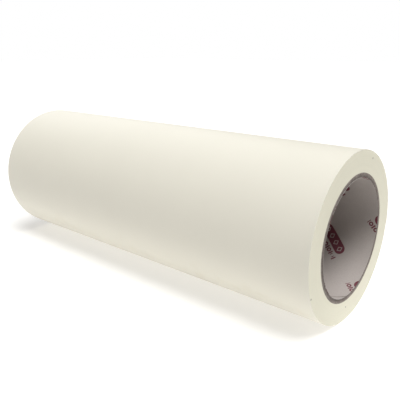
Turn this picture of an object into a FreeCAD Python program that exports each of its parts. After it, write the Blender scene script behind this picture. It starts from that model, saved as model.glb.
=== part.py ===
"""A roll of self-wound application tape for sign vinyl, on a spiral-wound paperboard core.

The roll lies on its side. Its axis is X, Z is up, and the origin is the middle of the bore.
Sizes are in millimetres.

Angles round the roll grow the way the web is wound on: 0 at the lowest line, 90 at the front
(-Y), 180 at the top and 270 at the back (+Y).
"""

import FreeCAD
import Part
import Sketcher
import math
import os

Vector = FreeCAD.Vector

SIZES = {
    "roll_width": 304.8,  # width of the web, and length of the core cut flush with it
    "core_bore": 76.2,  # inside diameter of the core
    "liner_thick": 0.15,  # printed paper that lines the bore
    "board_thick": 0.45,  # one ply of grey board
    "board_plies": 6,  # how many plies of board the core has
    "cover_thick": 0.15,  # smooth paper ply round the outside of the core
    "ply_pitch": 145,  # how far a ply's strip advances along the core in one turn
    "ply_gap": 0.4,  # gap between the edges of a strip's turns, along the core
    "seam_angle": 4,  # where the liner's seam meets the +X end
    "web_length": 45720,  # how much web is wound on
    "web_thick": 0.0914,  # paper backing with its coat of adhesive
    "tail_angle": 233,  # where the free end of the web begins
    "tail_length": 40,  # length of the free end, round the roll
    "tail_split": 0.1,  # gap between the free end and the turn that it carries on from
    "tail_clearance": 0.05,  # air under the free end where it begins
    "tail_lift": 0.3,  # how much more air there is under its edge
    "tab_length": 18,  # starter tab, measured back from the free edge
    "tab_thick": 0.06,
    "tab_inset": 3,  # how far the tab stops short of each side of the web
}

SEAM_OVERCUT = 0.1  # how far a seam's cutter stands out of both sides of its ply
ARC_STEP = 30  # most degrees of the spiral that one arc follows
TAIL_ARC_STEP = 3  # the same for the free end, whose curve isn't round the roll's axis

doc = FreeCAD.newDocument("application_tape_roll")
sheet = doc.addObject("Spreadsheet::Sheet", "sizes")
for row, (name, value) in enumerate(SIZES.items(), start=1):
    sheet.set(f"A{row}", name)
    sheet.set(f"B{row}", str(value))
    sheet.setAlias(f"B{row}", name)
doc.recompute()


def size(name):
    """A driving size, read back from the sheet."""
    return float(sheet.get(name))


def origin_feature(body, role):
    """One of a body's own origin planes or axes."""
    return next(f for f in body.Origin.OriginFeatures if f.Role == role)


def new_sketch(body, name, plane):
    sketch = body.newObject("Sketcher::SketchObject", name)
    sketch.AttachmentSupport = (origin_feature(body, plane), [""])
    sketch.MapMode = "FlatFace"
    return sketch


def dimension(sketch, label, formula, *constraint):
    """A named constraint whose value follows the sheet."""
    index = sketch.addConstraint(Sketcher.Constraint(*constraint))
    sketch.renameConstraint(index, label)
    sketch.setExpression(f"Constraints.{label}", formula)


def draw_circle(sketch, label, radius):
    """A circle round the sketch's origin."""
    circle = sketch.addGeometry(Part.Circle(Vector(), Vector(0, 0, 1), 1))
    sketch.addConstraint(Sketcher.Constraint("Coincident", circle, 3, -1, 1))
    dimension(sketch, label, radius, "Radius", circle, 1)


# --- the core: strips wound into a tube and glued on each other, each with its seam elsewhere

LINER_OUTSIDE = "(sizes.core_bore / 2 + sizes.liner_thick)"
BOARD_OUTSIDE = f"({LINER_OUTSIDE} + sizes.board_plies * sizes.board_thick)"
CORE_OUTSIDE = f"({BOARD_OUTSIDE} + sizes.cover_thick)"


def draw_ring(body, inside, outside):
    """The end view of a tube."""
    sketch = new_sketch(body, "ring", "XY_Plane")
    draw_circle(sketch, "inside", inside)
    draw_circle(sketch, "outside", outside)
    return sketch


def draw_seam(body, inside, outside, start):
    """The gap between two turns of a strip, as a rectangle that spans the ply."""
    sketch = new_sketch(body, "seam", "XZ_Plane")
    corners = [Vector(1, 0), Vector(2, 0), Vector(2, 1), Vector(1, 1)]
    for side in range(4):
        sketch.addGeometry(Part.LineSegment(corners[side], corners[(side + 1) % 4]))
        kind = ("Horizontal", "Vertical")[side % 2]
        sketch.addConstraint(Sketcher.Constraint(kind, side))
    for side in range(4):
        corner = "Coincident", side, 2, (side + 1) % 4, 1
        sketch.addConstraint(Sketcher.Constraint(*corner))
    near = f"{inside} - {SEAM_OVERCUT}"
    far = f"{outside} + {SEAM_OVERCUT}"
    dimension(sketch, "near_side", near, "DistanceX", -1, 1, 0, 1, 1)
    dimension(sketch, "far_side", far, "DistanceX", -1, 1, 1, 1, 2)
    dimension(sketch, "start", start, "DistanceY", 0, 1, -1, 1, 1)
    dimension(sketch, "gap", "sizes.ply_gap", "DistanceY", 1, 1, 1, 2, 1)
    return sketch


def wound_ply(label, inside, outside, share):
    """One ply of the core: a tube cut through along the seam of the strip that it is wound from.

    It is made standing up and laid down at the end. share is how much of a turn its seam is
    ahead of the liner's.
    """
    body = doc.addObject("PartDesign::Body", label)
    tube = body.newObject("PartDesign::Pad", "tube")
    tube.Profile = draw_ring(body, inside, outside)
    tube.setExpression("Length", "sizes.roll_width")
    doc.recompute()
    uncut = tube.Shape.Volume
    # The cutter starts below the tube, whole turns away from where its seam meets the other end.
    turns = "(ceil(sizes.roll_width / sizes.ply_pitch) + 2)"
    start = (
        f"{turns} * sizes.ply_pitch - sizes.roll_width"
        f" - sizes.ply_pitch * (sizes.seam_angle / 360 + {share})"
    )
    seam = body.newObject("PartDesign::SubtractiveHelix", "seam_cut")
    seam.Profile = draw_seam(body, inside, outside, start)
    seam.ReferenceAxis = (origin_feature(body, "Z_Axis"), [""])
    seam.Mode = "pitch-height-angle"
    seam.setExpression("Pitch", "sizes.ply_pitch")
    seam.setExpression("Height", f"({turns} + 1) * sizes.ply_pitch")
    body.Placement.Rotation = FreeCAD.Rotation(Vector(0, 1, 0), 90)
    body.setExpression("Placement.Base.x", "-sizes.roll_width / 2")
    doc.recompute()
    if seam.Shape.Volume >= uncut:
        raise ValueError(f"the seam of {label} cuts nothing")
    return body


def make_core():
    boards = int(size("board_plies"))
    core = [wound_ply("core_liner", "sizes.core_bore / 2", LINER_OUTSIDE, 0)]
    for ply in range(boards):
        inside = f"({LINER_OUTSIDE} + {ply} * sizes.board_thick)"
        outside = f"({inside} + sizes.board_thick)"
        label = f"core_board_ply_{ply + 1}"
        core.append(wound_ply(label, inside, outside, (ply + 1) / (boards + 2)))
    share = (boards + 1) / (boards + 2)
    core.append(wound_ply("core_cover_ply", BOARD_OUTSIDE, CORE_OUTSIDE, share))
    return core


# --- the web: one long strip, which climbs by its own thickness in each turn

core_outside = (
    size("core_bore") / 2
    + size("liner_thick")
    + size("board_plies") * size("board_thick")
    + size("cover_thick")
)
# Seen from the end, the wound web fills a ring as large as its length times its thickness.
roll_outside = math.sqrt(
    core_outside**2 + size("web_length") * size("web_thick") / math.pi
)
pack_end = size("tail_angle")
pack_start = pack_end - 360


def degrees_round(length):
    """The angle that a length of web takes up on the outside of the roll."""
    return math.degrees(length / roll_outside)


tail_start = pack_end + degrees_round(size("tail_split"))
tail_end = pack_end + degrees_round(size("tail_length"))
tab_start = tail_end - degrees_round(size("tab_length"))


def web_outside(angle):
    """Outside of the web at an angle, which goes on past 0 and 360 as the web is wound."""
    return roll_outside + size("web_thick") * angle / 360


def web_inside(angle):
    return web_outside(angle) - size("web_thick")


def tail_inside(angle):
    """Underside of the free end, which stands off the turn under it, most at its edge."""
    along = (angle - pack_end) / (tail_end - pack_end)
    sprung = (size("tab_thick") + size("tail_lift")) * along**2
    return web_outside(angle - 360) + size("tail_clearance") + sprung


def tail_outside(angle):
    return tail_inside(angle) + size("web_thick")


def tab_inside(angle):
    return tail_inside(angle) - size("tab_thick")


def at(angle, radius):
    """A point of the end view."""
    turn = math.radians(angle)
    return Vector(-radius * math.sin(turn), -radius * math.cos(turn))


def draw_spiral(sketch, radius_at, start, end, longest=ARC_STEP):
    """Arcs along a curve whose radius is a function of the angle."""
    count = math.ceil((end - start) / longest)
    step = (end - start) / count
    for index in range(count):
        angles = [end - (index + part) * step for part in (0, 0.5, 1)]
        sketch.addGeometry(Part.Arc(*(at(a, radius_at(a)) for a in angles)))


def draw_band(sketch, inside_at, outside_at, start, end, longest=ARC_STEP):
    """The end view of a curved strip."""
    draw_spiral(sketch, inside_at, start, end, longest)
    draw_spiral(sketch, outside_at, start, end, longest)
    for angle in (start, end):
        ends = at(angle, inside_at(angle)), at(angle, outside_at(angle))
        sketch.addGeometry(Part.LineSegment(*ends))


def extruded(label, width, draw):
    """A piece that draw draws in end view and that reaches width along X, half each way."""
    body = doc.addObject("PartDesign::Body", label)
    sketch = new_sketch(body, "end_view", "YZ_Plane")
    draw(sketch)
    pad = body.newObject("PartDesign::Pad", "across_web")
    pad.Profile = sketch
    pad.setExpression("Length", width)
    body.setExpression("Placement.Base.x", f"-({width}) / 2")
    return body


def draw_pack(sketch):
    """All the turns under the last one. They are pressed together, so they are one solid."""
    draw_spiral(sketch, web_inside, pack_start, pack_end)
    step = (at(pack_end, web_inside(angle)) for angle in (pack_start, pack_end))
    sketch.addGeometry(Part.LineSegment(*step))
    draw_circle(sketch, "core", CORE_OUTSIDE)


def draw_outer_turn(sketch):
    """The last full turn. It starts a hair after the pack's step, where the web comes out."""
    start = pack_start + degrees_round(size("tail_split"))
    draw_band(sketch, web_inside, web_outside, start, pack_end)


def draw_tail(sketch):
    draw_band(sketch, tail_inside, tail_outside, tail_start, tail_end, TAIL_ARC_STEP)


def draw_tab(sketch):
    """Paper stuck under the edge of the free end, so that it can be picked up."""
    draw_band(sketch, tab_inside, tail_inside, tab_start, tail_end, TAIL_ARC_STEP)


def make_web():
    width = "sizes.roll_width"
    tab_width = "sizes.roll_width - 2 * sizes.tab_inset"
    return [
        extruded("wound_pack", width, draw_pack),
        extruded("outer_turn", width, draw_outer_turn),
        extruded("leading_edge", width, draw_tail),
        extruded("starter_tab", tab_width, draw_tab),
    ]


def check(pieces):
    """Stops before anything is written if a feature failed or a piece isn't one sound solid."""
    for item in doc.Objects:
        if {"Invalid", "Error"} & set(item.State):
            raise ValueError(f"{item.Label} failed: {item.State}")
    for piece in pieces:
        shape = piece.Shape
        if shape.isNull() or not shape.isValid() or len(shape.Solids) != 1:
            raise ValueError(f"{piece.Label} is not one sound solid")


pieces = make_core() + make_web()
doc.recompute()
check(pieces)
os.makedirs("parts", exist_ok=True)
for piece in pieces:
    piece.Shape.exportStep(f"parts/{piece.Label}.step")
    print(f"{piece.Label:18s} {piece.Shape.Volume / 1000:10.3f} cm3")
print(f"wound radius {roll_outside:.3f} mm, core radius {core_outside:.3f} mm")
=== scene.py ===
"""A roll of application tape for sign vinyl, lying on its side: a spiral-wound printed core with
one long web of cream paper wound on it. Metres; the roll's axis is X and Z is up."""

import bpy
import math
from mathutils import Matrix, Vector, noise


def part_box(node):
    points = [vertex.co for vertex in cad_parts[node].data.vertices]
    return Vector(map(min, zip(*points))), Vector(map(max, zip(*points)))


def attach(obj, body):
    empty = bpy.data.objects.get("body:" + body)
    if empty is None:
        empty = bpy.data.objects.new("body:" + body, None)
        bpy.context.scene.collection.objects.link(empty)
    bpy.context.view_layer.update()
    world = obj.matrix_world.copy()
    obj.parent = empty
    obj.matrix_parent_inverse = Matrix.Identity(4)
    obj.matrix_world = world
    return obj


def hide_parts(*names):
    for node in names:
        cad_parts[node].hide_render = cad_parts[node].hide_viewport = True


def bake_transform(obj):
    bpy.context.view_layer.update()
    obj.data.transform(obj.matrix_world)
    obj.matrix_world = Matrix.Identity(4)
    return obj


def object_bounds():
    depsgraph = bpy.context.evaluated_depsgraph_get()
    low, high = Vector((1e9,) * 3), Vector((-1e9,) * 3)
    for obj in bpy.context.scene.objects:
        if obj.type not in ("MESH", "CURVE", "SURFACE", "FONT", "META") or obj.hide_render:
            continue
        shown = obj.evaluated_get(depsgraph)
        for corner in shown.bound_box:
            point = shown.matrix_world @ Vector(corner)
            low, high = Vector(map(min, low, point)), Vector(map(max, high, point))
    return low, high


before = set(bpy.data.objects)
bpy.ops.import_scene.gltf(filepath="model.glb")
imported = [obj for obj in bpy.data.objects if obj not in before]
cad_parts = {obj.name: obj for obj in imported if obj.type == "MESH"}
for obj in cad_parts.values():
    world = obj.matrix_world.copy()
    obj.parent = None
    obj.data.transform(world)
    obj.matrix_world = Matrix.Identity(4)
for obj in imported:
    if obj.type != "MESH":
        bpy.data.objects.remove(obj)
cad_box = [list(corner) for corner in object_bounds()]

# --- Core liner ---------------------------------------------------------------------------------
# A strip of thin grey paper, printed before it was wound, that spirals round the inside of the
# core. Its edges butt together in a fine open seam, and a saw cut it off square at both ends.

left_end, right_end = (corner.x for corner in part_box("core_liner"))
core_length = right_end - left_end
bore_radius = 0.0381
liner_thickness = 0.00015
strip_pitch = 0.145
strip_gap = 0.0004
liner_seam = math.radians(-94)
liner_trim, liner_fur = 0.00002, 0.0001
smooth_angle = math.radians(35)
round_steps = 256
weld_distance = 1e-7


def pick_vertices(piece, wanted):
    """Selects the vertices of the piece in edit mode for which wanted(point) is true."""
    bpy.ops.mesh.select_all(action="DESELECT")
    bpy.ops.object.mode_set(mode="OBJECT")
    for vertex in piece.data.vertices:
        vertex.select = wanted(vertex.co)
    bpy.ops.object.mode_set(mode="EDIT")


def crosswise_edge(name, start, end, radius, angle, cuts=0):
    """One edge parallel to the roll's axis, left in edit mode: where a strip begins."""
    bpy.ops.object.select_all(action="DESELECT")
    bpy.ops.mesh.primitive_plane_add(size=1)
    strip = bpy.context.object
    strip.name = strip.data.name = name
    bpy.ops.object.mode_set(mode="EDIT")
    bpy.ops.mesh.select_mode(type="VERT")
    pick_vertices(strip, lambda point: point.y > 0)
    bpy.ops.mesh.delete(type="VERT")
    bpy.ops.mesh.select_all(action="SELECT")
    bpy.ops.transform.translate(value=(0, 0.5, 0))
    bpy.ops.transform.resize(value=(end - start, 1, 1), center_override=(0, 0, 0))
    bpy.ops.transform.translate(
        value=((start + end) / 2, radius * math.cos(angle), radius * math.sin(angle))
    )
    if cuts:
        bpy.ops.mesh.subdivide(number_cuts=cuts)
    return strip


def give_thickness(sheet, thickness):
    """A wall of that thickness, half each side of the sheet, with its faces pointing out."""
    wall = sheet.modifiers.new("thickness", "SOLIDIFY")
    wall.thickness, wall.offset = thickness, 0
    bpy.ops.object.modifier_apply(modifier=wall.name)
    bpy.ops.object.mode_set(mode="EDIT")
    bpy.ops.mesh.select_all(action="SELECT")
    bpy.ops.mesh.normals_make_consistent(inside=False)
    bpy.ops.object.mode_set(mode="OBJECT")
    bpy.ops.object.shade_smooth_by_angle(angle=smooth_angle)


def wind_ply(name, inner_radius, thickness, seam_angle, trim, fur):
    """A strip wound into a tube. Its seam meets the right end at seam_angle from +Y towards +Z.
    The saw leaves its ends short by trim and furry, up to fur deep."""
    coarse_fur, fine_fur, close_by = 900, 2300, 1e-6
    turns = math.ceil(core_length / strip_pitch) + 1
    edge = right_end - turns * strip_pitch
    ply = crosswise_edge(
        name, edge + strip_gap, edge + strip_pitch, inner_radius + thickness / 2, seam_angle
    )
    bpy.ops.object.mode_set(mode="OBJECT")
    wind = ply.modifiers.new("wind", "SCREW")
    wind.axis, wind.angle, wind.screw_offset = "X", math.tau, strip_pitch
    wind.iterations, wind.steps, wind.render_steps = turns, round_steps, round_steps
    bpy.ops.object.modifier_apply(modifier=wind.name)
    bpy.ops.object.mode_set(mode="EDIT")
    for end, outward in ((right_end - trim, 1), (left_end + trim, -1)):
        bpy.ops.mesh.select_all(action="SELECT")
        bpy.ops.mesh.bisect(plane_co=(end, 0, 0), plane_no=(outward, 0, 0), clear_outer=True,
                            threshold=weld_distance)
    bpy.ops.mesh.select_all(action="SELECT")
    bpy.ops.mesh.remove_doubles(threshold=weld_distance)
    bpy.ops.object.mode_set(mode="OBJECT")
    give_thickness(ply, thickness)
    for vertex in ply.data.vertices:
        torn = noise.noise(vertex.co * coarse_fur) + 0.5 * noise.noise(vertex.co * fine_fur)
        if vertex.co.x > right_end - trim - close_by:
            vertex.co.x -= fur * abs(torn)
        elif vertex.co.x < left_end + trim + close_by:
            vertex.co.x += fur * abs(torn)
    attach(ply, "roll")
    return ply


def fill(tree, node, inputs):
    """Gives each of these inputs of the node its value, or a link to the socket it comes from."""
    for name, value in inputs.items():
        if isinstance(value, bpy.types.NodeSocket):
            tree.links.new(value, node.inputs[name])
        else:
            node.inputs[name].default_value = value


def put(tree, kind, inputs=None, **settings):
    """Adds a shader node with these settings, and fills its inputs."""
    node = tree.nodes.new("ShaderNode" + kind)
    for name, value in settings.items():
        setattr(node, name, value)
    fill(tree, node, inputs or {})
    return node


def reckon(tree, operation, *values):
    """A Math node's result."""
    return put(tree, "Math", dict(enumerate(values)), operation=operation).outputs[0]


def ramp(tree, value, start, end, low, high):
    """Goes from low to high as the value goes from start to end, and stays level past them."""
    node = put(tree, "MapRange", {"Value": value, "From Min": start, "From Max": end,
                                  "To Min": low, "To Max": high})
    return node.outputs[0]


def round_axis(tree, place):
    """Angle round the roll's axis, from +Y towards +Z."""
    return reckon(tree, "ARCTAN2", place["Z"], place["Y"])


def add_bump(tree, shader, height, strength, distance):
    """Makes the surface rise and dip with the height."""
    bump = put(tree, "Bump", {"Height": height, "Strength": strength, "Distance": distance})
    tree.links.new(bump.outputs[0], shader.inputs["Normal"])


def new_group(name, inputs, outputs):
    """An empty node group. Returns its tree, its input sockets and its output node."""
    tree = bpy.data.node_groups.new(name, "ShaderNodeTree")
    for label, kind, value in inputs:
        socket = tree.interface.new_socket(label, in_out="INPUT", socket_type=kind)
        if value is not None:
            socket.default_value = value
    for label, kind in outputs:
        tree.interface.new_socket(label, in_out="OUTPUT", socket_type=kind)
    group_in = tree.nodes.new("NodeGroupInput")
    return tree, group_in.outputs, tree.nodes.new("NodeGroupOutput")


def use_group(tree, group, inputs):
    """Places a node group in a material or in another group. Returns its outputs."""
    node = tree.nodes.new("ShaderNodeGroup")
    node.node_tree = group
    fill(tree, node, inputs)
    return node.outputs


def new_material(name, roughness, specular=0.3):
    """A material with a Principled shader. Returns it, its tree and the shader."""
    material = bpy.data.materials.new(name)
    material.use_nodes = True
    tree = material.node_tree
    shader = tree.nodes["Principled BSDF"]
    shader.inputs["Roughness"].default_value = roughness
    shader.inputs["Specular IOR Level"].default_value = specular
    return material, tree, shader


def mix_colour(tree, factor, first, second):
    """The first colour, with the second over it as far as the factor says."""
    first, second = (
        (*colour, 1) if isinstance(colour, tuple) else colour for colour in (first, second)
    )
    node = put(tree, "Mix", {0: factor, 6: first, 7: second}, data_type="RGBA")
    return node.outputs[2]


def paper_fibre_group():
    """Short fibres and slow cloudy patches, as any uncoated paper or board has."""
    tree, given, out = new_group(
        "paper_fibre",
        [
            ("Vector", "NodeSocketVector", None),
            ("Fibre size", "NodeSocketFloat", 900.0),
            ("Cloud size", "NodeSocketFloat", 45.0),
        ],
        [("Fibre", "NodeSocketFloat"), ("Cloud", "NodeSocketFloat")],
    )
    fibre = put(
        tree,
        "TexNoise",
        {"Vector": given["Vector"], "Scale": given["Fibre size"], "Detail": 4.0,
         "Roughness": 0.65, "Distortion": 0.6},
    )
    cloud = put(
        tree,
        "TexNoise",
        {"Vector": given["Vector"], "Scale": given["Cloud size"], "Detail": 3.0},
    )
    tree.links.new(fibre.outputs["Fac"], out.inputs["Fibre"])
    tree.links.new(cloud.outputs["Fac"], out.inputs["Cloud"])
    return tree


def liner_print_group():
    """The liner's repeated mark, in millimetres: a rounded bar with four open diamonds left
    unprinted in it, and a row of rings and strokes beside it. Also gives how near the seam is."""
    tree, given, out = new_group(
        "liner_print",
        [("Vector", "NodeSocketVector", None)],
        [("Ink", "NodeSocketFloat"), ("Seam", "NodeSocketFloat")],
    )

    columns, row_step, row_lean = 5, 35.3, 13.8
    first_row, first_column, slant = 7.8, 3.85, math.radians(44.5)
    bar_half_length, bar_half_width = 8.35, 3.65
    diamond_spacing, diamond_size, diamond_line, diamond_squeeze = 5.6, 1.9, 0.38, 1.25
    row_away, row_half_height, row_half_length, row_shift = 6.6, 1.7, 13.0, 0.5
    mark_spacing, ring_radius, ring_line, stroke_line = 2.5, 1.1, 0.45, 0.5
    group_spacing, group_half_length = 6.25, 5.4
    group_shift = 3.75
    seam_reach, soft_edge = 0.7, 0.075

    def calc(operation, *values):
        return reckon(tree, operation, *values)

    def less(value, limit):
        """1 below the limit and 0 above it, with a slightly soft edge."""
        return ramp(tree, value, limit - soft_edge, limit + soft_edge, 1.0, 0.0)

    def apart(value, other):
        """How far the two are from each other."""
        return calc("ABSOLUTE", calc("SUBTRACT", value, other))

    def hypotenuse(value, other):
        """Length of a straight line that goes this far one way and this far across."""
        return calc("SQRT", calc("ADD", calc("MULTIPLY", value, value),
                                 calc("MULTIPLY", other, other)))

    place = put(tree, "SeparateXYZ", {"Vector": given["Vector"]}).outputs
    angle = round_axis(tree, place)
    round_mm = calc("MULTIPLY", angle, bore_radius * 1000)
    depth_mm = calc("MULTIPLY", calc("SUBTRACT", right_end, place["X"]), 1000)
    column_step = math.tau * bore_radius * 1000 / columns
    from_first = calc("ADD", depth_mm, first_row)
    row = calc("ROUND", calc("DIVIDE", from_first, row_step))
    down = calc("SUBTRACT", from_first, calc("MULTIPLY", row, row_step))
    leant = calc("ADD", calc("ADD", round_mm, first_column), calc("MULTIPLY", row, row_lean))
    column = calc("ROUND", calc("DIVIDE", leant, column_step))
    across = calc("SUBTRACT", leant, calc("MULTIPLY", column, column_step))
    along = calc("ADD", calc("MULTIPLY", across, math.cos(slant)),
                 calc("MULTIPLY", down, math.sin(slant)))
    beside = calc("SUBTRACT", calc("MULTIPLY", down, math.cos(slant)),
                  calc("MULTIPLY", across, math.sin(slant)))
    # the bar
    past_end = calc("MAXIMUM", calc("SUBTRACT", calc("ABSOLUTE", along), bar_half_length), 0.0)
    bar = less(hypotenuse(past_end, beside), bar_half_width)
    # four open diamonds in it
    from_diamond = apart(calc("PINGPONG", along, diamond_spacing), diamond_spacing / 2)
    reach = calc("ADD", calc("MULTIPLY", from_diamond, diamond_squeeze),
                 calc("ABSOLUTE", beside))
    diamond = less(apart(reach, diamond_size), diamond_line)
    # the row beside it: small rings and strokes by turns, in groups
    up = apart(beside, row_away)
    inside_row = calc("MULTIPLY", less(up, row_half_height),
                      less(calc("ABSOLUTE", calc("ADD", along, row_shift)), row_half_length))
    ring_side = calc("PINGPONG", along, mark_spacing)
    ring = less(apart(hypotenuse(ring_side, up), ring_radius), ring_line)
    stroke = less(apart(ring_side, mark_spacing), stroke_line)
    in_group = less(calc("PINGPONG", calc("ADD", along, group_shift), group_spacing),
                    group_half_length)
    small_row = calc("MULTIPLY", inside_row,
                     calc("MULTIPLY", calc("MAXIMUM", ring, stroke), in_group))
    ink = calc("MAXIMUM", calc("MULTIPLY", bar, calc("SUBTRACT", 1.0, diamond)), small_row)
    # how near the strip's own edges are
    turned = calc("DIVIDE", calc("SUBTRACT", angle, liner_seam), math.tau)
    advanced = calc("DIVIDE", depth_mm, -strip_pitch * 1000)
    from_seam = calc("PINGPONG", calc("SUBTRACT", advanced, turned), 0.5)
    seam = less(calc("MULTIPLY", from_seam, strip_pitch * 1000), seam_reach)
    tree.links.new(ink, out.inputs["Ink"])
    tree.links.new(seam, out.inputs["Seam"])
    return tree


paper_fibre = paper_fibre_group()
liner_print = liner_print_group()

liner_paper, tree, shader = new_material("printed_liner_paper", 0.72, 0.25)
here = put(tree, "TexCoord").outputs["Object"]
fibre = use_group(tree, paper_fibre, {"Vector": here, "Fibre size": 1400.0, "Cloud size": 60.0})
marks = use_group(tree, liner_print, {"Vector": here})
paper = mix_colour(tree, fibre["Fibre"], (0.32, 0.285, 0.27), (0.45, 0.41, 0.38))
paper = mix_colour(tree, reckon(tree, "MULTIPLY", fibre["Cloud"], 0.25), paper,
                   (0.30, 0.27, 0.25))
patchy = reckon(tree, "MULTIPLY_ADD", fibre["Fibre"], 0.3, 0.78)
ink = mix_colour(tree, fibre["Fibre"], (0.085, 0.006, 0.018), (0.15, 0.016, 0.036))
paper = mix_colour(tree, reckon(tree, "MULTIPLY", marks["Ink"], patchy), paper, ink)
# the seam darkened: painted shadow in the open seam, and glue squeezed out of it
paper = mix_colour(tree, reckon(tree, "MULTIPLY", marks["Seam"], 0.55), paper,
                   (0.12, 0.10, 0.085))
tree.links.new(paper, shader.inputs["Base Color"])
add_bump(tree, shader, fibre["Fibre"], 0.35, 0.00006)

liner = wind_ply("printed_core_liner", bore_radius, liner_thickness, liner_seam, liner_trim,
                 liner_fur)
liner.data.materials.append(liner_paper)
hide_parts("core_liner")

# --- Core boards --------------------------------------------------------------------------------
# Six plies of grey-brown recycled board, wound over the liner and glued to it and to each other.
# Each ply's seam is an eighth of a turn on from the one under it. Only their sawn ends show,
# a little furry and not quite level with each other.

board_thickness = 0.00045
board_plies = 6
board_trims = (0.00012, 0.00004, 0.00010, 0.00003, 0.00009, 0.00005)
board_fur = 0.0003
board_inside = bore_radius + liner_thickness
board_total = board_plies * board_thickness
glue_half_width = 0.00011


def from_axis(tree, place):
    """Distance from the roll's axis."""
    squares = [reckon(tree, "MULTIPLY", place[side], place[side]) for side in "YZ"]
    return reckon(tree, "SQRT", reckon(tree, "ADD", *squares))


core_board, tree, shader = new_material("grey_core_board", 0.9, 0.15)
here = put(tree, "TexCoord").outputs["Object"]
fibre = use_group(tree, paper_fibre, {"Vector": here, "Fibre size": 1900.0, "Cloud size": 160.0})
board = mix_colour(tree, fibre["Fibre"], (0.105, 0.088, 0.08), (0.25, 0.22, 0.205))
board = mix_colour(tree, reckon(tree, "MULTIPLY", fibre["Cloud"], 0.4), board,
                   (0.13, 0.105, 0.085))
clump = put(tree, "TexNoise", {"Vector": here, "Scale": 620.0, "Detail": 2.0}).outputs["Fac"]
board = mix_colour(tree, ramp(tree, clump, 0.42, 0.62, 0.0, 0.55), board, (0.30, 0.265, 0.24))
# glue lines show as darker rings between the plies
place = put(tree, "SeparateXYZ", {"Vector": here}).outputs
radius = from_axis(tree, place)
from_liner = reckon(tree, "SUBTRACT", radius, board_inside)
from_glue = reckon(tree, "PINGPONG", from_liner, board_thickness / 2)
glue = ramp(tree, from_glue, 0.0, glue_half_width, 0.6, 0.0)
board = mix_colour(tree, glue, board, (0.07, 0.058, 0.05))
# the outer plies are paler than the inner ones
paler = ramp(tree, radius, board_inside, board_inside + board_total, 0.72, 1.45)
board = put(tree, "VectorMath", {0: board, 3: paler}, operation="SCALE").outputs[0]
tree.links.new(board, shader.inputs["Base Color"])
add_bump(tree, shader, fibre["Fibre"], 0.8, 0.00025)

for number in range(board_plies):
    ply = wind_ply(
        f"core_board_{number + 1}",
        board_inside + number * board_thickness,
        board_thickness,
        liner_seam - math.tau * (number + 1) / (board_plies + 2),
        board_trims[number],
        board_fur,
    )
    ply.data.materials.append(core_board)
    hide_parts(f"core_board_ply_{number + 1}")

# --- Core cover ply -----------------------------------------------------------------------------
# The last strip of the core, a smoother and thinner paper that gives the web a clean surface to
# stick to. The web hides all of it but its sawn ends.

cover_thickness = 0.00015
cover_trim, cover_fur = 0.00006, 0.0001
cover_inside = board_inside + board_total
core_radius = cover_inside + cover_thickness

cover_paper, tree, shader = new_material("core_cover_paper", 0.85, 0.2)
here = put(tree, "TexCoord").outputs["Object"]
fibre = use_group(tree, paper_fibre, {"Vector": here, "Fibre size": 2400.0, "Cloud size": 120.0})
cover_colour = mix_colour(tree, fibre["Fibre"], (0.19, 0.17, 0.155), (0.30, 0.27, 0.245))
tree.links.new(cover_colour, shader.inputs["Base Color"])
add_bump(tree, shader, fibre["Cloud"], 0.4, 0.0001)

cover = wind_ply("core_cover_strip", cover_inside, cover_thickness,
                 liner_seam - math.tau * (board_plies + 1) / (board_plies + 2), cover_trim,
                 cover_fur)
cover.data.materials.append(cover_paper)
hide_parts("core_cover_ply")

# --- Wound web ----------------------------------------------------------------------------------
# All the turns of the cream web under the last one, slit to width by knives. The ends show the
# web's edges as very fine rings, which stand a few hundredths of a millimetre in or out.

web_thickness = 0.0000914
web_length = 45.72
roll_radius = math.sqrt(core_radius**2 + web_length * web_thickness / math.pi)
tail_angle = math.radians(37)
tail_length = 0.040
free_edge_angle = tail_angle - tail_length / roll_radius


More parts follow.
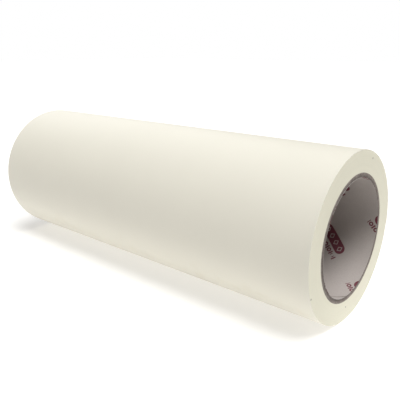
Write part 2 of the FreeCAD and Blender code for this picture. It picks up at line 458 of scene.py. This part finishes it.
def web_colour_group():
    """The web's paper, on either side: creamy, with faint crepe lines that run along the roll."""
    tree, given, out = new_group(
        "cream_web",
        [("Vector", "NodeSocketVector", None), ("Colour", "NodeSocketColor", (1, 1, 1, 1)),
         ("Marks", "NodeSocketFloat", 1.0), ("Edge shadow and dust", "NodeSocketFloat", 0.0)],
        [("Colour", "NodeSocketColor"), ("Height", "NodeSocketFloat")],
    )
    fibre = use_group(tree, paper_fibre,
                      {"Vector": given["Vector"], "Fibre size": 1500.0, "Cloud size": 22.0})
    stretched = put(tree, "Mapping", {"Vector": given["Vector"], "Scale": (60.0, 1500.0, 1500.0)})
    crepe = put(tree, "TexNoise", {"Vector": stretched.outputs[0], "Scale": 1.0, "Detail": 3.0})
    shade = reckon(tree, "MULTIPLY_ADD", fibre["Cloud"], 0.05, 0.955)
    shade = reckon(tree, "MULTIPLY_ADD", fibre["Fibre"], 0.03, shade)
    plain = put(tree, "VectorMath", {0: given["Colour"], 3: shade}, operation="SCALE").outputs[0]
    # a darker line along the free edge: dust held by the adhesive, and the edge's painted shadow
    place = put(tree, "SeparateXYZ", {"Vector": given["Vector"]}).outputs
    from_edge = reckon(tree, "SUBTRACT", round_axis(tree, place), free_edge_angle)
    dust = ramp(tree, reckon(tree, "ABSOLUTE", from_edge), 0.004, 0.020, 0.9, 0.0)
    dust = reckon(tree, "MULTIPLY", reckon(tree, "MULTIPLY", dust, given["Edge shadow and dust"]),
                  fibre["Cloud"])
    plain = mix_colour(tree, dust, plain, (0.42, 0.38, 0.31))
    # pale tan patches, darker and warmer than the paper, only on the lower part of the roll
    low = ramp(tree, place["Z"], -0.018, -0.042, 0.0, 1.0)
    patch = put(tree, "TexNoise", {"Vector": given["Vector"], "Scale": 55.0, "Detail": 3.0})
    patch = ramp(tree, patch.outputs["Fac"], 0.56, 0.74, 0.0, 0.45)
    low_tan_patches = reckon(tree, "MULTIPLY", reckon(tree, "MULTIPLY", low, patch), given["Marks"])
    marked = mix_colour(tree, low_tan_patches, plain, (0.70, 0.64, 0.50))
    height = reckon(tree, "MULTIPLY_ADD", crepe.outputs["Fac"], 0.7, fibre["Fibre"])
    tree.links.new(marked, out.inputs["Colour"])
    tree.links.new(height, out.inputs["Height"])
    return tree


cream_web = web_colour_group()

web_edges, tree, shader = new_material("wound_web_edges", 0.62, 0.25)
here = put(tree, "TexCoord").outputs["Object"]
place = put(tree, "SeparateXYZ", {"Vector": here}).outputs
radius, angle = from_axis(tree, place), round_axis(tree, place)
ring_place = put(
    tree,
    "CombineXYZ",
    {"X": reckon(tree, "MULTIPLY", radius, 6000.0),
     "Y": reckon(tree, "MULTIPLY", reckon(tree, "SINE", angle), 1.5),
     "Z": reckon(tree, "COSINE", angle)},
).outputs[0]
rings = put(tree, "TexNoise", {"Vector": ring_place, "Scale": 1.0, "Detail": 4.0})
bands = put(tree, "CombineXYZ", {"X": reckon(tree, "MULTIPLY", radius, 420.0)}).outputs[0]
bands = put(tree, "TexNoise", {"Vector": bands, "Scale": 1.0, "Detail": 2.0})
fibre = use_group(tree, paper_fibre, {"Vector": here, "Fibre size": 2200.0, "Cloud size": 70.0})
tone = reckon(tree, "MULTIPLY_ADD", rings.outputs["Fac"], 0.13, 0.88)
tone = reckon(tree, "MULTIPLY_ADD", bands.outputs["Fac"], 0.05, tone)
tone = reckon(tree, "MULTIPLY_ADD", fibre["Cloud"], 0.04, tone)
edge_colour = put(
    tree, "VectorMath", {0: (0.665, 0.645, 0.53), 3: tone}, operation="SCALE"
).outputs[0]
# a faint scatter of dust, and three specks of grey board that the slitting knives left
scatter = put(tree, "TexVoronoi", {"Vector": here, "Scale": 260.0, "Randomness": 1.0})
scatter = ramp(tree, scatter.outputs["Distance"], 0.03, 0.06, 0.35, 0.0)
dust = put(tree, "TexNoise", {"Vector": here, "Scale": 55.0}).outputs["Fac"]
speck = reckon(tree, "MULTIPLY", scatter, ramp(tree, dust, 0.56, 0.62, 0.0, 1.0))
for speck_angle, speck_radius, speck_size in (
    (67.8, 0.05104, 0.0008), (-156.9, 0.05405, 0.00075), (-91.5, 0.0460, 0.0007)
):
    turn = math.radians(speck_angle)
    middle = (right_end, speck_radius * math.cos(turn), speck_radius * math.sin(turn))
    gap = put(tree, "VectorMath", {0: here, 1: middle}, operation="DISTANCE").outputs["Value"]
    speck = reckon(tree, "MAXIMUM", speck, ramp(tree, gap, speck_size / 2, speck_size, 0.9, 0.0))
edge_colour = mix_colour(tree, speck, edge_colour, (0.22, 0.20, 0.18))
tree.links.new(edge_colour, shader.inputs["Base Color"])
add_bump(tree, shader, rings.outputs["Fac"], 0.35, 0.0001)

ring_count = 36
pack_radius = roll_radius - web_thickness
ring_width = (pack_radius - core_radius) / ring_count
ring_swing, last_ring_level, outward_share = 0.00005, -0.00004, 0.4
swings = [ring_swing * math.sin(2.1 * n) * math.sin(0.7 * n + 1) for n in range(ring_count)]
# a ring stands in as far as it swings, and out by less
ring_levels = [swing if swing < 0 else swing * outward_share for swing in swings]
ring_levels[-1] = last_ring_level


def cut_end(levels, reached, radius, step, outward, end):
    """Extrudes the selected loop over one end, a ring at a time, each to its own level."""
    for level in levels:
        bpy.ops.mesh.extrude_edges_move(
            TRANSFORM_OT_translate={"value": (outward * (level - reached), 0, 0)}
        )
        scale = (radius + step) / radius
        bpy.ops.transform.resize(value=(1, scale, scale), center_override=(end, 0, 0))
        reached, radius = level, radius + step


bpy.ops.object.select_all(action="DESELECT")
bpy.ops.mesh.primitive_circle_add(vertices=round_steps, radius=core_radius,
                                  location=(right_end, 0, 0), rotation=(0, math.pi / 2, 0))
pack = bpy.context.object
pack.name = pack.data.name = "wound_web"
bpy.ops.object.transform_apply(location=True, rotation=True, scale=True)
bpy.ops.object.mode_set(mode="EDIT")
bpy.ops.mesh.select_mode(type="EDGE")
bpy.ops.mesh.select_all(action="SELECT")
cut_end(ring_levels, 0.0, core_radius, ring_width, 1, right_end)
bpy.ops.mesh.extrude_edges_move(
    TRANSFORM_OT_translate={"value": (left_end - right_end - 2 * last_ring_level, 0, 0)}
)
cut_end(ring_levels[-2::-1] + [0.0], last_ring_level, pack_radius, -ring_width, -1, left_end)
bpy.ops.mesh.select_mode(type="VERT")
pick_vertices(pack, lambda point: math.hypot(point.y, point.z) < core_radius + ring_width / 3)
bpy.ops.mesh.select_mode(type="EDGE")
bpy.ops.mesh.bridge_edge_loops()
bpy.ops.mesh.select_all(action="SELECT")
bpy.ops.mesh.normals_make_consistent(inside=False)
bpy.ops.object.mode_set(mode="OBJECT")
bpy.ops.object.shade_smooth_by_angle(angle=smooth_angle)
pack.data.materials.append(web_edges)
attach(pack, "roll")
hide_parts("wound_pack")

# --- Last turn of the web -----------------------------------------------------------------------
# The same web, once round from under its own free end: plain cream paper with a matte face. It
# comes out of the pack at the back, and the free end carries on from it.


def web_material(name, roughness, specular, colour, marks, edge_shadow_and_dust, bump_strength):
    """One side of the web, in its own colour and gloss."""
    material, tree, shader = new_material(name, roughness, specular)
    here = put(tree, "TexCoord").outputs["Object"]
    web = use_group(tree, cream_web, {"Vector": here, "Colour": (*colour, 1), "Marks": marks,
                                      "Edge shadow and dust": edge_shadow_and_dust})
    tree.links.new(web["Colour"], shader.inputs["Base Color"])
    add_bump(tree, shader, web["Height"], bump_strength, 0.00006)
    return material


face_colour = (0.80, 0.774, 0.676)
web_face = web_material("cream_web_face", 0.5, 0.5, face_colour, 1.0, 0.0, 0.22)


def spin_web(name, radius_at, start, sweep, steps, end_inset=0.0):
    """A strip of web as wide as the roll, from an angle on for a sweep the way it is wound."""
    cuts, just_before = 23, 1e-4
    strip = crosswise_edge(name, left_end + end_inset, right_end - end_inset, roll_radius,
                           start, cuts)
    bpy.ops.mesh.select_all(action="SELECT")
    bpy.ops.mesh.spin(steps=steps, angle=sweep, center=(0, 0, 0), axis=(1, 0, 0))
    bpy.ops.object.mode_set(mode="OBJECT")
    for vertex in strip.data.vertices:
        angle = math.atan2(vertex.co.z, vertex.co.y)
        along = (start - angle + just_before) % math.tau - just_before
        scale = radius_at(along) / math.hypot(vertex.co.y, vertex.co.z)
        vertex.co.y, vertex.co.z = vertex.co.y * scale, vertex.co.z * scale
    return strip


# the web's outer side grows by its own thickness in each turn, counted from the roll's lowest line
lowest_line = math.radians(270)
turn_end = roll_radius + web_thickness * (lowest_line - tail_angle) / math.tau
turn_gap, turn_steps = 0.002, 360

last_turn = spin_web(
    "last_turn_of_web",
    lambda along: turn_end + web_thickness * ((along - math.tau) / math.tau - 0.5),
    tail_angle - turn_gap, math.tau - turn_gap, turn_steps,
)
give_thickness(last_turn, web_thickness)
last_turn.data.materials.append(web_face)
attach(last_turn, "roll")
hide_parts("outer_turn")

# --- Free end of the web ------------------------------------------------------------------------
# The last 40 mm of the web, cut across by hand, so that its edge wanders a little. It has sprung
# away a hair at that edge. Its underside carries the adhesive.

tail_clearance = 0.00005
tail_spring = 0.00036
tail_sweep = tail_length / roll_radius
tail_gap, tail_steps = 0.0004, 120
settling_length = 0.004
edge_wander, wander_waves, wander_from = 0.0064, 21, 0.9
underside_limit = -0.01

# its face gets the darker line along its edge: dust, and the edge's painted shadow
free_end_face = web_material("cream_free_end_face", 0.5, 0.5, face_colour, 1.0, 1.0, 0.22)
adhesive_side = web_material("adhesive_side_of_web", 0.28, 0.45, (0.80, 0.775, 0.68), 0.0, 0.0,
                             0.1)


def tail_middle(along):
    """Middle of the free end's thickness: it leaves the last turn and stands off the one below."""
    share = min(along / tail_sweep, 1)
    resting = turn_end - web_thickness / 2
    eased = min(along * roll_radius / settling_length, 1)
    return resting + tail_clearance * eased + tail_spring * share**2


tail = spin_web("free_end_of_web", tail_middle, tail_angle - tail_gap, tail_sweep, tail_steps)
for vertex in tail.data.vertices:
    angle = math.atan2(vertex.co.z, vertex.co.y)
    share = (tail_angle - angle) / tail_sweep
    wander = edge_wander * math.sin(vertex.co.x * wander_waves) * max(share - wander_from, 0)
    vertex.co = Matrix.Rotation(wander / roll_radius, 4, "X") @ vertex.co
give_thickness(tail, web_thickness)
tail.data.materials.append(free_end_face)
tail.data.materials.append(adhesive_side)
for face in tail.data.polygons:
    outward = Vector((0, face.center.y, face.center.z)).dot(face.normal)
    face.material_index = 1 if outward < underside_limit else 0
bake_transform(tail)
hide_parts("leading_edge")

# --- Starter tab --------------------------------------------------------------------------------
# A strip of thin white paper stuck under the free edge, so that it doesn't grip the roll and a
# finger can get under it.

tab_length = 0.018
tab_thickness = 0.00006
tab_sweep = tab_length / roll_radius
tab_setback, tab_inset, tab_steps = 0.006, 0.003, 24

tab_paper, tree, shader = new_material("starter_tab_paper", 0.5, 0.35)
here = put(tree, "TexCoord").outputs["Object"]
fibre = use_group(tree, paper_fibre, {"Vector": here, "Fibre size": 1200.0, "Cloud size": 40.0})
tab_colour = mix_colour(tree, fibre["Fibre"], (0.76, 0.75, 0.72), (0.84, 0.83, 0.80))
tree.links.new(tab_colour, shader.inputs["Base Color"])
add_bump(tree, shader, fibre["Fibre"], 0.2, 0.00005)

tab_offset = tail_sweep - tab_sweep
tab = spin_web(
    "starter_tab_paper_strip",
    lambda along: tail_middle(along + tab_offset) - (web_thickness + tab_thickness) / 2,
    tail_angle - tab_offset, tab_sweep - tab_setback, tab_steps, tab_inset,
)
give_thickness(tab, tab_thickness)
tab.data.materials.append(tab_paper)
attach(tab, "free_end")
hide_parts("starter_tab")

# --- Floor, light and camera --------------------------------------------------------------------
# A plain pale table that glows a little, a broad soft light overhead, a weak one from behind, and
# a soft spot on the lower part of the open end, as from a pale wall in front of it.

bpy.ops.object.select_all(action="DESELECT")
bpy.ops.mesh.primitive_plane_add(size=12, location=(0, 0, cad_box[0][2]))
floor = bpy.context.object
floor.name = "pale_floor"
floor_paint, tree, shader = new_material("pale_floor_paint", 0.9, 0.1)
shader.inputs["Base Color"].default_value = (0.62, 0.615, 0.61, 1)
shader.inputs["Emission Color"].default_value = (1.0, 0.985, 0.95, 1)
shader.inputs["Emission Strength"].default_value = 0.50
floor.data.materials.append(floor_paint)

world = bpy.data.worlds.new("studio")
bpy.context.scene.world = world
world.use_nodes = True
tree = world.node_tree
seen_directly = put(tree, "LightPath").outputs["Is Camera Ray"]
glow = mix_colour(tree, seen_directly, (0.07, 0.068, 0.066), (1, 1, 1))
tree.links.new(glow, tree.nodes["Background"].inputs["Color"])


def hang(name, data, direction, location=(0, 0, 0)):
    """Puts a light or a camera there, looking that way."""
    hung = bpy.data.objects.new(name, data)
    bpy.context.scene.collection.objects.link(hung)
    hung.location = location
    hung.rotation_euler = Vector(direction).to_track_quat("-Z", "Y").to_euler()
    return hung


for name, energy, spread, direction in (
    ("high_soft_light", 3.6, 34, (-0.34, 0.07, -0.94)),
    ("back_soft_light", 0.6, 50, (0.75, -0.42, -0.5)),
):
    light = bpy.data.lights.new(name, "SUN")
    light.energy, light.angle = energy, math.radians(spread)
    hang(name, light, direction)

spot = bpy.data.lights.new("open_end_spot", "SPOT")
spot.energy, spot.shadow_soft_size = 1.0, 0.05
spot.spot_size, spot.spot_blend = math.radians(26), 1.0
spot_place, lit_place = Vector((0.45, 0.10, 0.10)), Vector((right_end, 0.012, -0.060))
hang("open_end_spot", spot, lit_place - spot_place, spot_place)

camera = hang("camera", bpy.data.cameras.new("camera"), (-0.6208, 0.7287, -0.2890),
              (0.2672, -0.2790, 0.1115))
camera.data.lens = 45.1
camera.data.clip_start, camera.data.clip_end = 0.01, 50
bpy.context.scene.camera = camera
bpy.context.scene.view_settings.view_transform = "Standard"
